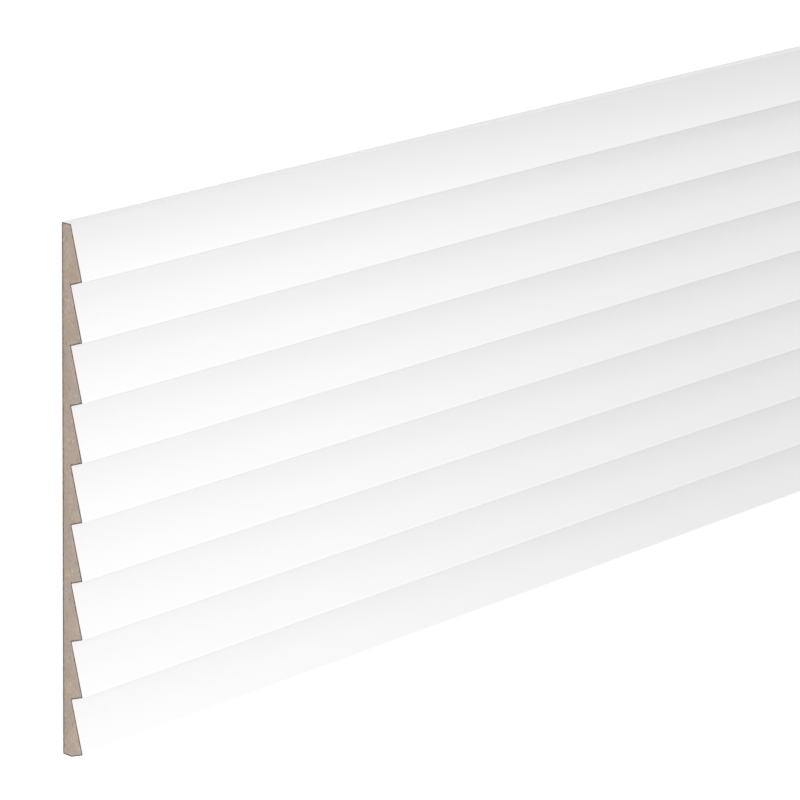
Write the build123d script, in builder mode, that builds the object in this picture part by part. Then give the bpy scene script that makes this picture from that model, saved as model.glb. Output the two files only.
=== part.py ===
"""Sawtooth wall panel: one fibreboard board whose face is moulded into a row of tilted slats.

The panel lies on its flat back. X runs along the slats, Y up the panel as it hangs on a wall, and Z out of the
back. The origin is in the middle of the back.
"""
import os

from build123d import *

# Driving dimensions, in millimetres
panel_length = 2000.0
panel_height = 240.0
panel_thickness = 12.0
web_thickness = 5.3  # from the back to the roots of the slats, and so at both long edges
slat_count = 9
butt_run = 2.4  # how far down the panel the end of a slat, its butt, runs from its nose to the root below
nose_radius = 0.25  # rounding of each slat's lower edge
root_radius = 0.3  # rounding in the corner below each slat's butt

slat_pitch = panel_height / slat_count
top = panel_height / 2
bottom = top - panel_height


def root(row):
    """The point on the section where a row's slat starts; row 0 starts at the top edge."""
    return (top - row * slat_pitch, web_thickness)


def nose_center(row):
    """The centre, on the section, of the rounding at the lower edge of a row's slat."""
    lower_edge = top - (row + 1) * slat_pitch + butt_run
    return (lower_edge + nose_radius, panel_thickness - nose_radius)


with BuildPart() as wall_panel:
    # The section across the slats, with the panel's Y along the sketch and its Z up the sketch
    with BuildSketch(Plane.YZ) as section:
        with BuildLine():
            Polyline(root(slat_count), (bottom, 0), (top, 0), root(0))
            for row in range(slat_count):
                nose = CenterArc(nose_center(row), nose_radius, 0, 360, mode=Mode.PRIVATE)
                # Two lines from a root touch the nose: the slat's face is the higher, its butt the lower one
                face = ConstrainedLines(nose, root(row), selector=lambda lines: lines.sort_by(Axis.Y)[-1])
                butt = ConstrainedLines(nose, root(row + 1), selector=lambda lines: lines.sort_by(Axis.X)[0])
                TangentArc(face @ 0, butt @ 0, tangent=-(face % 0))
        make_face()
        # The corners at web height are the roots and, at either end, the corners of the two long edges
        corners = section.vertices().group_by(Axis.Y)[1].sort_by(Axis.X)
        fillet(corners[1:-1], root_radius)
    extrude(amount=panel_length / 2, both=True)

wall_panel.part.label = "wall_panel"

os.makedirs("parts", exist_ok=True)
export_step(wall_panel.part, "parts/wall_panel.step")
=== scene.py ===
"""The looks of a white sawtooth wall panel, built round its CAD frame and lying on a pale studio floor."""
import math
from collections import namedtuple

import bpy
from mathutils import Matrix, Vector


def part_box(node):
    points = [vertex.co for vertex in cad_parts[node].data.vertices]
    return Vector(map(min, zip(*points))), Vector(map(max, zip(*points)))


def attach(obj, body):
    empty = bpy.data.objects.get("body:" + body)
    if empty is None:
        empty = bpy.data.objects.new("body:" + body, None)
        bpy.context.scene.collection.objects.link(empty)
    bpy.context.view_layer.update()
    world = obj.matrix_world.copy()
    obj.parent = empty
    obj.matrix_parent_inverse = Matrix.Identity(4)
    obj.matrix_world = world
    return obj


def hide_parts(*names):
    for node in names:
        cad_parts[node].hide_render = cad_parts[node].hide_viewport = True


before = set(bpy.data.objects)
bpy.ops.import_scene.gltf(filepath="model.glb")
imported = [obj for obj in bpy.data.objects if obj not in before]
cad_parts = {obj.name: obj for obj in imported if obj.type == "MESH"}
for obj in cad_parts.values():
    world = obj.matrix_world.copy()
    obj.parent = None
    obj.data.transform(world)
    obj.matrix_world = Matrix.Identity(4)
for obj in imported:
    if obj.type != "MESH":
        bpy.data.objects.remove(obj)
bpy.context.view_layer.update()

MM = 0.001

low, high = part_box("wall_panel")

# The section's own sizes, as the panel is moulded
SLATS = 9
WEB = 5.3 * MM  # from the back to the roots, and so at both long edges
BUTT_RUN = 2.4 * MM  # how far down the panel a butt runs, from its nose to the root below
NOSE_RADIUS = 0.25 * MM
ROOT_RADIUS = 0.3 * MM
PITCH = (high.y - low.y) / SLATS
THICKNESS = high.z - low.z

# How finely the mesh follows them
NOSE_STEPS = 6
ROOT_STEPS = 4
STATIONS = 41  # sections along the panel, so that its narrow faces don't run its whole length

# Painted light on the coat, from 0 in its deepest painted shade to 1 in the painted highlight on the noses
PAINTED_SHADING = "painted_shading"
TOP_ROOT_LIGHT = 0.28  # at the top of the first slat's face
ROOT_LIGHTS = (0.53, 0.61)  # at the top of the second slat's face and of the last one's
FACE_END_LIGHTS = (0.93, 0.74)  # at the foot of the first slat's face and of the last one's
NOSE_HIGHLIGHT = 1.0
CORNER_SHADE = 0.13  # how much deeper the painted shade is in the corner itself than at the top of the face below it
CORNER_REACH = 0.9 * MM  # how far beside its corner and beside its nose a face takes on the corner's painted shade and the nose's painted highlight
EDGE_LIGHTS = (0.32, 0.38)  # painted light from the back to the front of a long edge

# The panel's material slots
COATED, SAWN, SANDED = 0, 1, 2

# Where each side lies on the square map that the finish is baked on, by its lowest and highest v
UV_NAME = "OFBake"
COAT_BAND = (0.47, 0.998)
BACK_BAND = (0.22, 0.45)
END_BANDS = ((0.002, 0.1), (0.112, 0.21))

# The photograph's view: where it looks on the panel, from where, and how far it leans
AIM_FROM_END = 219.75 * MM
AIM_ACROSS = -4.6 * MM
VIEW_AZIMUTH = math.radians(248.461)
VIEW_ELEVATION = math.radians(38.907)
VIEW_DISTANCE = 1.9684
VIEW_ROLL = math.radians(1.23)
VIEW_LENS = 189.39  # millimetres

# The light: an even dome, a square lamp level over each end, and a low strip behind the top edge
DOME = 0.828
END_LAMP_SIZE = (0.8, 0.8)
END_LAMP_HEIGHT = 0.3
END_LAMP_BEYOND = 0.12  # from the panel's end outwards
END_LAMP_DOWN = 0.16  # from the panel's middle line towards its bottom edge
KEY_POWER = 0.71  # over the near end
FAR_POWER = 0.47  # over the far end
STRIP_SIZE = (2.4, 0.4)
STRIP_HEIGHT = 0.3
STRIP_BEHIND = 0.95  # from the panel's middle line past its top edge
STRIP_POWER = 1.3

# The floor: its tone, and the glow that shows it white but for the panel's shadow
FLOOR_TONE = 0.9
FLOOR_GLOW = 0.36
FLOOR_SIZE = 80.0
FLOOR_GAP = 0.1 * MM  # under the panel's back, so that the two don't lie in one plane

ALONG_PANEL = Vector((1, 0, 0))
UP_PANEL = Vector((0, 1, 0))  # from the bottom edge to the top edge
WHITE = (1, 1, 1, 1)


# The panel's mesh

# A point of the section and the painted light on the coat there
Point = namedtuple("Point", "y z build")
# A strip along the panel: its material, and the coat's painted light and the map's v at its start and at its
# end
Strip = namedtuple("Strip", "slot builds heights")


def root(row):
    """Where a row's slat starts; row 0 starts at the top edge."""
    return Vector((high.y - row * PITCH, low.z + WEB))


def nose_center(row):
    """The middle of the rounding at the lower edge of a row's slat."""
    return Vector((high.y - (row + 1) * PITCH + BUTT_RUN + NOSE_RADIUS, high.z - NOSE_RADIUS))


def arc(center, radius, start, end, steps):
    """Points on a circle from one angle to another."""
    turns = [start + (end - start) * step / steps for step in range(steps + 1)]
    return [center + radius * Vector((math.cos(turn), math.sin(turn))) for turn in turns]


def nose(row):
    """The rounding from a slat's face to its butt, both of which touch it."""
    center = nose_center(row)
    to_face = root(row) - center
    to_butt = root(row + 1) - center
    start = math.atan2(to_face.y, to_face.x) + math.acos(NOSE_RADIUS / to_face.length)
    end = math.atan2(to_butt.y, to_butt.x) - math.acos(NOSE_RADIUS / to_butt.length)
    return arc(center, NOSE_RADIUS, start, end % math.tau, NOSE_STEPS)


def root_rounding(row):
    """The rounding in the corner where a row's slat starts, from the butt above it to its own face."""
    corner = root(row)
    up_butt = (nose(row - 1)[-1] - corner).normalized()
    down_face = (nose(row)[0] - corner).normalized()
    half = up_butt.angle(down_face) / 2
    center = corner + (up_butt + down_face).normalized() * (ROOT_RADIUS / math.sin(half))
    on_butt = corner + up_butt * (ROOT_RADIUS / math.tan(half)) - center
    on_face = corner + down_face * (ROOT_RADIUS / math.tan(half)) - center
    start = math.atan2(on_butt.y, on_butt.x)
    end = math.atan2(on_face.y, on_face.x)
    return arc(center, ROOT_RADIUS, start % math.tau, end % math.tau, ROOT_STEPS)


def within(band, share):
    """The value at a share of the way from a band's first to its second."""
    return band[0] + (band[1] - band[0]) * share


def root_light(row):
    """The painted light at the top of a row's face, where painted shade darkens the coat."""
    if row == 0:
        return TOP_ROOT_LIGHT
    return within(ROOT_LIGHTS, (row - 1) / (SLATS - 2))


def section_front():
    """The section's front line, from the top edge down over every slat to the bottom edge."""
    # Painted shade in each corner and at the top of each face, a painted highlight on each nose
    points = [Point(*root(0), root_light(0) - CORNER_SHADE)]
    for row in range(SLATS):
        rounding = nose(row)
        start, end = Vector(points[-1][:2]), rounding[0]
        beside = (end - start).normalized() * CORNER_REACH
        points.append(Point(*(start + beside), root_light(row)))
        points.append(Point(*(end - beside), within(FACE_END_LIGHTS, row / (SLATS - 1))))
        points += [Point(*place, NOSE_HIGHLIGHT) for place in rounding]
        corner = root_rounding(row + 1) if row + 1 < SLATS else [root(SLATS)]
        points += [Point(*place, root_light(row + 1) - CORNER_SHADE) for place in corner]
    return points


class Skin:
    """A mesh's faces as they are made, each with its slot and its corners' painted light and places on the
    map.
    """

    def __init__(self):
        self.faces = []
        self.slots = []
        self.builds = []
        self.places = []

    def add(self, corners, slot, places, builds=(0.0, 0.0, 0.0, 0.0)):
        """One more face of four corners, with its corners' painted light at 0 unless it is given."""
        self.faces.append(corners)
        self.slots.append(slot)
        self.builds += builds
        self.places += places

    def mesh(self, name, vertices):
        """The mesh of all the faces."""
        mesh = bpy.data.meshes.new(name)
        mesh.from_pydata(vertices, [], self.faces)
        mesh.polygons.foreach_set("material_index", self.slots)
        mesh.attributes.new(PAINTED_SHADING, "FLOAT", "CORNER").data.foreach_set("value", self.builds)
        uv_map = mesh.uv_layers.new(name=UV_NAME)
        uv_map.uv.foreach_set("vector", [number for place in self.places for number in place])
        mesh.update()
        return mesh


def up_share(point):
    """How far up the panel a point of the section lies, from 0 at the bottom edge to 1 at the top edge."""
    return (point.y - low.y) / (high.y - low.y)


def strips_between(ring, coated):
    """The ring's strips: first so many coated ones, on the front and both long edges, then the back's."""
    steps = [math.dist(ring[here][:2], ring[here + 1][:2]) for here in range(coated)]
    strips = []
    for here, (start, end) in enumerate(zip(ring, ring[1:] + ring[:1])):
        if here < coated:
            slot, band = COATED, COAT_BAND
            shares = [sum(steps[:number]) / sum(steps) for number in (here, here + 1)]
        else:
            slot, band = SANDED, BACK_BAND
            shares = [up_share(start), up_share(end)]
        heights = [within(band, share) for share in shares]
        strips.append(Strip(slot, (start.build, end.build), heights))
    # The long edges get painted light of their own
    strips[0] = strips[0]._replace(builds=EDGE_LIGHTS)
    strips[coated - 1] = strips[coated - 1]._replace(builds=EDGE_LIGHTS[::-1])
    return strips


def add_sides(skin, strips):
    """The faces along the panel, from each station to the next."""
    count = len(strips)
    for station in range(STATIONS - 1):
        near, far = station * count, (station + 1) * count
        u_near, u_far = station / (STATIONS - 1), (station + 1) / (STATIONS - 1)
        for here, strip in enumerate(strips):
            after = (here + 1) % count
            start, end = strip.heights
            corners = (near + here, near + after, far + after, far + here)
            places = [(u_near, start), (u_near, end), (u_far, end), (u_far, start)]
            skin.add(corners, strip.slot, places, strip.builds + strip.builds[::-1])


def add_ends(skin, ring, columns):
    """A cap on each end, of columns that reach from the front line straight to the back."""
    count = len(ring)
    last = (STATIONS - 1) * count
    for column in range(columns):
        in_front, behind = column + 1, -column % count
        outline = [in_front, behind, (behind - 1) % count, in_front + 1]
        points = [ring[index] for index in outline]
        for band, start in zip(END_BANDS, (0, last)):
            places = [(up_share(point), within(band, (point.z - low.z) / THICKNESS)) for point in points]
            corners = [start + index for index in outline]
            if start == last:
                corners.reverse()
                places.reverse()
            skin.add(corners, SAWN, places)


def build_panel():
    """The panel as one closed mesh: the section's outline along its length, with a cap at each end."""
    front = section_front()
    back = [Point(point.y, low.z, 0.0) for point in front]
    ring = [back[0]] + front + back[:0:-1]  # from the top edge's back corner down the front and up the back
    along = [within((low.x, high.x), station / (STATIONS - 1)) for station in range(STATIONS)]
    vertices = [(x, point.y, point.z) for x in along for point in ring]
    skin = Skin()
    add_sides(skin, strips_between(ring, coated=len(front) + 1))
    add_ends(skin, ring, columns=len(front) - 1)
    panel = bpy.data.objects.new("slatted_panel", skin.mesh("slatted_panel", vertices))
    bpy.context.collection.objects.link(panel)
    return panel


# Nodes

# The numbers of the Mix node's sockets for colours, because its sockets for other values have the same names
MIX_SHARE, MIX_FIRST, MIX_SECOND, MIX_RESULT = 0, 6, 7, 2

# Where most values of a noise lie
NOISE_RANGE = (0.3, 0.7)


def add_node(tree, kind, inputs=None, **settings):
    """A new node, with its settings and with its inputs set to values or linked to other nodes' outputs."""
    node = tree.nodes.new(kind)
    for name, value in settings.items():
        setattr(node, name, value)
    for name, value in (inputs or {}).items():
        if isinstance(value, bpy.types.NodeSocket):
            tree.links.new(value, node.inputs[name])
        else:
            node.inputs[name].default_value = value
    return node


def new_material(name):
    """An empty node material and its tree."""
    material = bpy.data.materials.new(name)
    material.use_nodes = True
    material.node_tree.nodes.clear()
    return material, material.node_tree


def object_place(tree):
    """Where a spot of a surface lies, in metres in the panel's own frame."""
    return add_node(tree, "ShaderNodeTexCoord").outputs["Object"]


def noise(tree, place, lumps, detail, stretch=(1, 1, 1), shift=0.0):
    """Noise of so many lumps a metre, drawn out along the axes whose stretch is below 1."""
    inputs = {"Vector": place, "Location": (shift, shift, shift), "Scale": stretch}
    mapped = add_node(tree, "ShaderNodeMapping", inputs).outputs["Vector"]
    inputs = {"Vector": mapped, "Scale": lumps, "Detail": detail}
    return add_node(tree, "ShaderNodeTexNoise", inputs).outputs["Fac"]


def spread(tree, value, source, target):
    """A value moved from one range to another, and kept inside it."""
    inputs = {
        "Value": value,
        "From Min": source[0],
        "From Max": source[1],
        "To Min": target[0],
        "To Max": target[1],
    }
    return add_node(tree, "ShaderNodeMapRange", inputs).outputs["Result"]


def blend(tree, share, first, second):
    """Two colours mixed by a share."""
    inputs = {MIX_SHARE: share, MIX_FIRST: first, MIX_SECOND: second}
    return add_node(tree, "ShaderNodeMix", inputs, data_type="RGBA").outputs[MIX_RESULT]


def maths(tree, operation, *values):
    """The outcome of a sum on numbers or other nodes' outputs."""
    return add_node(tree, "ShaderNodeMath", dict(enumerate(values)), operation=operation).outputs["Value"]


def add_surface(tree, colour, roughness, relief, strength, depth):
    """The shader and the output of a surface, with a fine relief of a given strength and depth."""
    bump = add_node(tree, "ShaderNodeBump", {"Height": relief, "Strength": strength, "Distance": depth})
    inputs = {"Base Color": colour, "Roughness": roughness, "Normal": bump.outputs["Normal"]}
    shader = add_node(tree, "ShaderNodeBsdfPrincipled", inputs)
    add_node(tree, "ShaderNodeOutputMaterial", {"Surface": shader.outputs["BSDF"]})


# Materials

def srgb(red, green, blue):
    """A colour given as it shows on a screen, 0 to 255, as the linear colour that shaders take."""
    def linear(level):
        level /= 255
        return level / 12.92 if level <= 0.04045 else ((level + 0.055) / 1.055) ** 2.4
    return (linear(red), linear(green), linear(blue), 1.0)


# The coat's colour in its deepest painted shade and in its painted highlight
COAT_IN_PAINTED_SHADE = srgb(228, 228, 228)
COAT_IN_PAINTED_LIGHT = srgb(250, 250, 250)
COAT_ROUGHNESS = (0.4, 0.5)
DARK_FIBRES = srgb(171, 153, 137)
PALE_FIBRES = srgb(203, 187, 172)

# A stain: its colour, how strong it gets, its noise, and over which of the noise's values it fades in
Stain = namedtuple("Stain", "colour strength lumps detail shift fade")
CLOUDS = Stain(srgb(214, 213, 210), strength=0.02, lumps=40, detail=3, shift=0.0, fade=NOISE_RANGE)
WARM_PATCHES = Stain(srgb(164, 145, 128), strength=0.45, lumps=170, detail=3, shift=0.3, fade=(0.35, 0.65))
GREY_PATCHES = Stain(srgb(176, 164, 155), strength=0.4, lumps=110, detail=2, shift=0.9, fade=(0.4, 0.65))
DARK_FLECKS = Stain(srgb(134, 117, 103), strength=0.5, lumps=620, detail=2, shift=0.7, fade=(0.62, 0.72))
PALE_FLECKS = Stain(srgb(216, 202, 188), strength=0.5, lumps=760, detail=2, shift=1.1, fade=(0.62, 0.72))
SANDING_LINES = Stain(srgb(166, 149, 134), strength=0.3, lumps=420, detail=3, shift=0.2, fade=(0.35, 0.65))

# How each texture is drawn out, along the panel or up it: the smaller the number, the longer
CLOUD_STRETCH = (0.2, 1, 1)
SPRAY_STRETCH = (0.05, 1, 1)
END_STRETCH = (1, 0.45, 1)
BACK_STRETCH = (0.3, 1, 1)
SANDING_STRETCH = (0.01, 1, 1)

# The dark rim of a sawn end
RIM_COLOUR = srgb(80, 74, 69)
RIM_STRENGTH = 0.95
RIM_FADE = (0.3 * MM, 0.75 * MM)  # how far inside the outline it starts to fade and is gone
RIM_WANDER = (-0.2 * MM, 0.2 * MM)  # how far it wanders out and in


def stained(tree, place, colour, stain, stretch):
    """A colour with a stain over it, and how much of the stain there is at each place."""
    lumps = noise(tree, place, stain.lumps, stain.detail, stretch, stain.shift)
    cover = spread(tree, lumps, stain.fade, (0.0, stain.strength))
    return blend(tree, cover, colour, stain.colour), cover


def white_coat():
    """White satin lacquer with painted shade in the corners and a painted highlight towards the noses, and a
    fine sprayed texture.
    """
    material, tree = new_material("white_coat")
    place = object_place(tree)
    # The coat's painted light, from painted shade in the corners to a painted highlight on the noses
    build = add_node(tree, "ShaderNodeAttribute", attribute_name=PAINTED_SHADING).outputs["Fac"]
    colour = blend(tree, build, COAT_IN_PAINTED_SHADE, COAT_IN_PAINTED_LIGHT)
    colour, _ = stained(tree, place, colour, CLOUDS, CLOUD_STRETCH)
    spray = noise(tree, place, lumps=300, detail=3, stretch=SPRAY_STRETCH)
    roughness = spread(tree, spray, NOISE_RANGE, COAT_ROUGHNESS)
    peel = noise(tree, place, lumps=900, detail=2)
    add_surface(tree, colour, roughness, relief=peel, strength=0.3, depth=0.03 * MM)
    return material


def board(tree, place, stretch):
    """The colour and the relief of bare fibreboard: short fibres drawn out one way, patches and flecks."""
    fibres = spread(tree, noise(tree, place, lumps=1300, detail=4, stretch=stretch), NOISE_RANGE, (0.0, 1.0))
    colour = blend(tree, fibres, DARK_FIBRES, PALE_FIBRES)
    for stain in (WARM_PATCHES, GREY_PATCHES, DARK_FLECKS, PALE_FLECKS):
        colour, _ = stained(tree, place, colour, stain, stretch)
    return colour, fibres


def depth_behind(tree, spot, on_line, outward):
    """How far a spot of the section lies behind a line through a point, along the line's outward normal."""
    reach = add_node(tree, "ShaderNodeVectorMath", {0: spot, 1: (*outward, 0)}, operation="DOT_PRODUCT")
    return maths(tree, "SUBTRACT", outward.dot(on_line), reach.outputs["Value"])


def depth_in_section(tree, place):
    """How far a spot of a cut end lies inside the section's outline."""
    axes = add_node(tree, "ShaderNodeSeparateXYZ", {"Vector": place}).outputs
    down_row = maths(tree, "MODULO", maths(tree, "SUBTRACT", high.y, axes["Y"]), PITCH)
    height = maths(tree, "SUBTRACT", axes["Z"], low.z)
    spot = add_node(tree, "ShaderNodeCombineXYZ", {"X": down_row, "Y": height}).outputs["Vector"]
    root_above, root_below = Vector((0, WEB)), Vector((PITCH, WEB))
    tooth = THICKNESS - WEB
    face_out = Vector((-tooth, PITCH - BUTT_RUN)).normalized()
    butt_out = Vector((tooth, BUTT_RUN)).normalized()
    behind_face = depth_behind(tree, spot, root_above, face_out)
    behind_butt = depth_behind(tree, spot, root_below, butt_out)
    behind_next_face = depth_behind(tree, spot, root_below, face_out)
    front = maths(tree, "MINIMUM", behind_face, maths(tree, "MAXIMUM", behind_butt, behind_next_face))
    # Both long edges lie equally far from the panel's middle line, at Y 0
    edge = maths(tree, "SUBTRACT", high.y, maths(tree, "ABSOLUTE", axes["Y"]))
    return maths(tree, "MINIMUM", front, maths(tree, "MINIMUM", height, edge))


def sawn_end():
    """A sawn end of the board: matt, with a dark rim where the board is dense or sealer has soaked in."""
    material, tree = new_material("sawn_fibreboard")
    place = object_place(tree)
    colour, fibres = board(tree, place, END_STRETCH)
    wander = spread(tree, noise(tree, place, lumps=800, detail=4, shift=0.5), NOISE_RANGE, RIM_WANDER)
    depth = maths(tree, "ADD", depth_in_section(tree, place), wander)
    rim = spread(tree, depth, RIM_FADE, (RIM_STRENGTH, 0.0))
    colour = blend(tree, rim, colour, RIM_COLOUR)
    add_surface(tree, colour, roughness=0.85, relief=fibres, strength=0.4, depth=0.08 * MM)
    return material


def sanded_back():
    """The board's sanded back: smoother and more even than an end, with faint lines along the panel."""
    material, tree = new_material("sanded_fibreboard")
    place = object_place(tree)
    colour, _ = board(tree, place, BACK_STRETCH)
    colour, lines = stained(tree, place, colour, SANDING_LINES, SANDING_STRETCH)
    add_surface(tree, colour, roughness=0.75, relief=lines, strength=0.2, depth=0.03 * MM)
    return material


# The studio

def by_sight(tree, lighting, seen):
    """One shader for the light, and another for what is seen, also in a reflection or through glass."""
    path = add_node(tree, "ShaderNodeLightPath").outputs
    sight = maths(tree, "MAXIMUM", path["Is Camera Ray"], path["Is Glossy Ray"])
    sight = maths(tree, "MAXIMUM", sight, path["Is Transmission Ray"])
    return add_node(tree, "ShaderNodeMixShader", {0: sight, 1: lighting, 2: seen}).outputs["Shader"]


def add_world():
    """An even dome of light that shows as white."""
    world = bpy.data.worlds.new("studio")
    world.use_nodes = True
    tree = world.node_tree
    tree.nodes.clear()
    dome = add_node(tree, "ShaderNodeBackground", {"Color": WHITE, "Strength": DOME})
    white = add_node(tree, "ShaderNodeBackground", {"Color": WHITE, "Strength": 1.0})
    surface = by_sight(tree, dome.outputs["Background"], white.outputs["Background"])
    add_node(tree, "ShaderNodeOutputWorld", {"Surface": surface})
    bpy.context.scene.world = world


def floor_material():
    """A matt pale floor, with a glow that is only seen and lights nothing."""
    material, tree = new_material("floor")
    matt = add_node(tree, "ShaderNodeBsdfDiffuse", {"Color": (FLOOR_TONE, FLOOR_TONE, FLOOR_TONE, 1)})
    dark = add_node(tree, "ShaderNodeEmission", {"Strength": 0.0})
    glow = add_node(tree, "ShaderNodeEmission", {"Color": WHITE, "Strength": FLOOR_GLOW})
    added = by_sight(tree, dark.outputs["Emission"], glow.outputs["Emission"])
    both = add_node(tree, "ShaderNodeAddShader", {0: matt.outputs["BSDF"], 1: added})
    add_node(tree, "ShaderNodeOutputMaterial", {"Surface": both.outputs["Shader"]})
    return material


def add_floor():
    """A wide floor under the panel."""
    half = FLOOR_SIZE / 2
    height = low.z - FLOOR_GAP
    corners = [(-half, -half, height), (half, -half, height), (half, half, height), (-half, half, height)]
    mesh = bpy.data.meshes.new("floor")
    mesh.from_pydata(corners, [], [(0, 1, 2, 3)])
    mesh.materials.append(floor_material())
    floor = bpy.data.objects.new("floor", mesh)
    bpy.context.collection.objects.link(floor)


def add_softbox(name, place, aim, size, power):
    """A soft lamp at a place, turned to a point, with its width along the panel."""
    lamp = bpy.data.lights.new(name, "AREA")
    lamp.shape = "RECTANGLE"
    lamp.size, lamp.size_y = size
    lamp.energy = power
    back = (place - aim).normalized()
    up = back.cross(ALONG_PANEL).normalized()
    turned = Matrix((up.cross(back), up, back)).transposed().to_4x4()
    softbox = bpy.data.objects.new(name, lamp)
    softbox.matrix_world = Matrix.Translation(place) @ turned
    softbox.visible_camera = False
    bpy.context.collection.objects.link(softbox)


def add_lamps():
    """A key over the near end, a weaker one over the far end, and a low strip behind the top edge."""
    raised = Vector((0, 0, END_LAMP_HEIGHT))
    by_near_end = Vector((low.x - END_LAMP_BEYOND, -END_LAMP_DOWN, low.z))
    by_far_end = Vector((high.x + END_LAMP_BEYOND, -END_LAMP_DOWN, low.z))
    middle = Vector(((low.x + high.x) / 2, 0, low.z))
    behind = middle + Vector((0, STRIP_BEHIND, STRIP_HEIGHT))
    add_softbox("key", by_near_end + raised, by_near_end, END_LAMP_SIZE, KEY_POWER)
    add_softbox("far", by_far_end + raised, by_far_end, END_LAMP_SIZE, FAR_POWER)
    add_softbox("strip", behind, middle, STRIP_SIZE, STRIP_POWER)


def add_camera():
    """The photograph's view: down on the face from beyond the near end, with the panel's top upwards."""
    aim = Vector((low.x + AIM_FROM_END, AIM_ACROSS, low.z))
    level = math.cos(VIEW_ELEVATION)
    back = Vector((
        math.sin(VIEW_AZIMUTH) * level,
        -math.cos(VIEW_AZIMUTH) * level,
        math.sin(VIEW_ELEVATION),
    ))
    right = UP_PANEL.cross(back).normalized()
    upright = Matrix((right, back.cross(right), back)).transposed().to_4x4()
    lens = bpy.data.cameras.new("view")
    lens.lens = VIEW_LENS
    camera = bpy.data.objects.new("view", lens)
    leaning = upright @ Matrix.Rotation(VIEW_ROLL, 4, "Z")
    camera.matrix_world = Matrix.Translation(aim + back * VIEW_DISTANCE) @ leaning
    bpy.context.collection.objects.link(camera)
    bpy.context.scene.camera = camera


panel = build_panel()
for finish in (white_coat(), sawn_end(), sanded_back()):
    panel.data.materials.append(finish)
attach(panel, "root")
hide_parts("wall_panel")

add_world()
add_floor()
add_lamps()
add_camera()
bpy.context.scene.view_settings.view_transform = "Standard"
